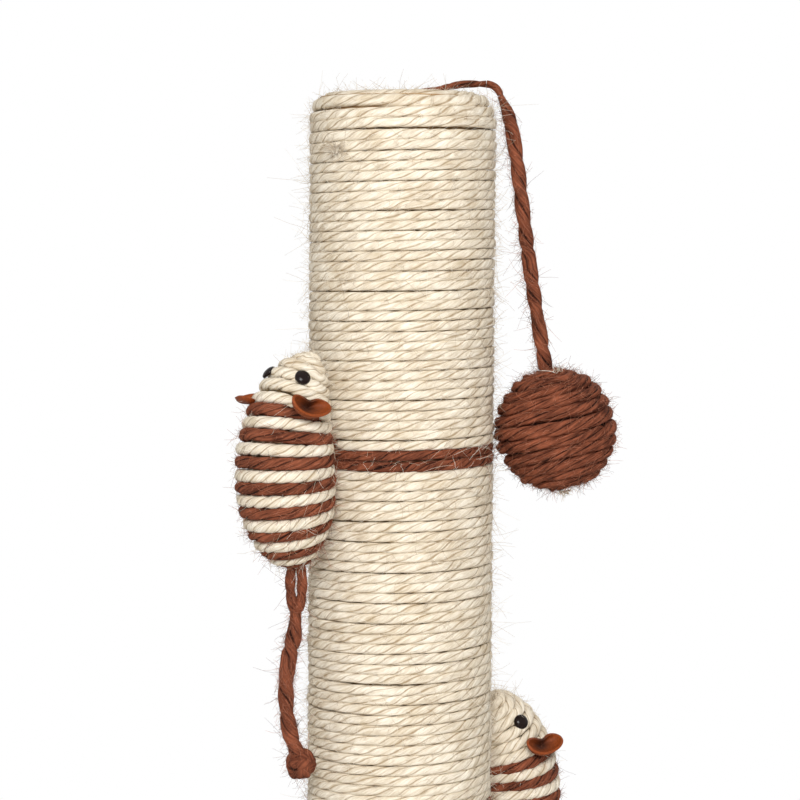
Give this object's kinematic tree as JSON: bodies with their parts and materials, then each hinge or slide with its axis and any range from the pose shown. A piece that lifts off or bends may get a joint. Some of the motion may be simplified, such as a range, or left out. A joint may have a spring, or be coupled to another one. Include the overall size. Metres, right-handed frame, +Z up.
{
  "type": "cat scratching post",
  "caption": "Rope-wound cat scratching post on a square plush-covered base, with a rope ball hanging over its rim and rope mice tied to its sides.",
  "frame": {"origin": "middle of the underside of the base, on the floor", "axes": "+Z up along the post, +X towards the hanging ball"},
  "size_m": [0.35, 0.35, 0.5539],
  "materials": {
    "sisal": "coarse natural rope, matt",
    "brown_rope": "coarse brown rope, matt",
    "plush": "short plush",
    "board": "raw particle board",
    "backing": "thin non-woven sheet",
    "cardboard": "raw wound cardboard",
    "plug_wood": "raw wood",
    "steel": "zinc plated",
    "leather": "soft suede",
    "eye": "glossy",
    "core": "filling, hidden"
  },
  "bodies": {
    "post": {"base_cover": "plush", "base_board": "board", "base_backing": "backing", "bolt_washer": "steel", "post_bolt": "steel", "tee_nut": "steel", "post_tube": "cardboard", "bottom_plug": "plug_wood", "top_plug": "plug_wood", "winding_upper": "sisal", "winding_middle": "sisal", "winding_lower": "sisal", "band_upper": "brown_rope", "band_lower": "brown_rope", "top_spiral": "sisal", "ball_rope_top": "brown_rope"},
    "rope_bend": {"ball_rope_bend": "brown_rope"},
    "ball": {"ball_rope": "brown_rope", "ball_winding": "brown_rope", "ball_core": "core"},
    "mouse1_hitch": {"mouse1_tie": "brown_rope"},
    "mouse1": {"mouse1_core": "core", "mouse1_brown_winding": "brown_rope", "mouse1_natural_winding": "sisal", "mouse1_eye_left": "eye", "mouse1_eye_right": "eye", "mouse1_ear_left": "leather", "mouse1_ear_right": "leather"},
    "mouse1_loop": {"mouse1_tail_loop": "brown_rope"},
    "mouse1_tail": {"mouse1_tail_rope": "brown_rope", "mouse1_tail_knot": "brown_rope"},
    "mouse2_hitch": {"mouse2_tie": "brown_rope"},
    "mouse2": {"mouse2_core": "core", "mouse2_brown_winding": "brown_rope", "mouse2_natural_winding": "sisal", "mouse2_eye_left": "eye", "mouse2_eye_right": "eye", "mouse2_ear_left": "leather", "mouse2_ear_right": "leather"},
    "mouse2_loop": {"mouse2_tail_loop": "brown_rope"},
    "mouse2_tail": {"mouse2_tail_rope": "brown_rope", "mouse2_tail_knot": "brown_rope"}
  },
  "joints": [
    {"name": "ball_side_swing", "type": "hinge", "parent": "post", "child": "rope_bend", "pos_m": [0.04, 0, 0.5521], "axis": [1, 0, 0], "range_deg": [-35, 35], "deforming": ["ball_rope_bend"]},
    {"name": "ball_out_swing", "type": "hinge", "parent": "rope_bend", "child": "ball", "pos_m": [0.0476, 0, 0.5448], "axis": [0, -1, 0], "range_deg": [0, 70]},
    {"name": "mouse1_rock", "type": "hinge", "parent": "post", "child": "mouse1_hitch", "pos_m": [-0.03534, -0.03072, 0.3735], "axis": [-0.7547, -0.6561, 0], "range_deg": [-20, 20]},
    {"name": "mouse1_turn", "type": "hinge", "parent": "mouse1_hitch", "child": "mouse1", "pos_m": [-0.03534, -0.03072, 0.3735], "axis": [0, 0, 1], "range_deg": [-15, 15], "deforming": ["mouse1_tie"]},
    {"name": "mouse1_tail_swing", "type": "hinge", "parent": "mouse1", "child": "mouse1_loop", "pos_m": [-0.04906, -0.04264, 0.3254], "axis": [-0.7547, -0.6561, 0], "range_deg": [-20, 20]},
    {"name": "mouse1_tail_sway", "type": "hinge", "parent": "mouse1_loop", "child": "mouse1_tail", "pos_m": [-0.04906, -0.04264, 0.2954], "axis": [-0.6561, 0.7547, 0], "range_deg": [-5, 35]},
    {"name": "mouse2_rock", "type": "hinge", "parent": "post", "child": "mouse2_hitch", "pos_m": [0.03795, 0.03073, 0.199], "axis": [0.7771, 0.6293, 0], "range_deg": [-20, 20]},
    {"name": "mouse2_turn", "type": "hinge", "parent": "mouse2_hitch", "child": "mouse2", "pos_m": [0.03795, 0.03073, 0.199], "axis": [0, 0, 1], "range_deg": [-10, 10], "deforming": ["mouse2_tie"]},
    {"name": "mouse2_tail_swing", "type": "hinge", "parent": "mouse2", "child": "mouse2_loop", "pos_m": [0.05362, 0.04342, 0.1509], "axis": [0.7771, 0.6293, 0], "range_deg": [-20, 20]},
    {"name": "mouse2_tail_sway", "type": "hinge", "parent": "mouse2_loop", "child": "mouse2_tail", "pos_m": [0.05362, 0.04342, 0.1209], "axis": [0.6293, -0.7771, 0], "range_deg": [-5, 35]}
  ]
}
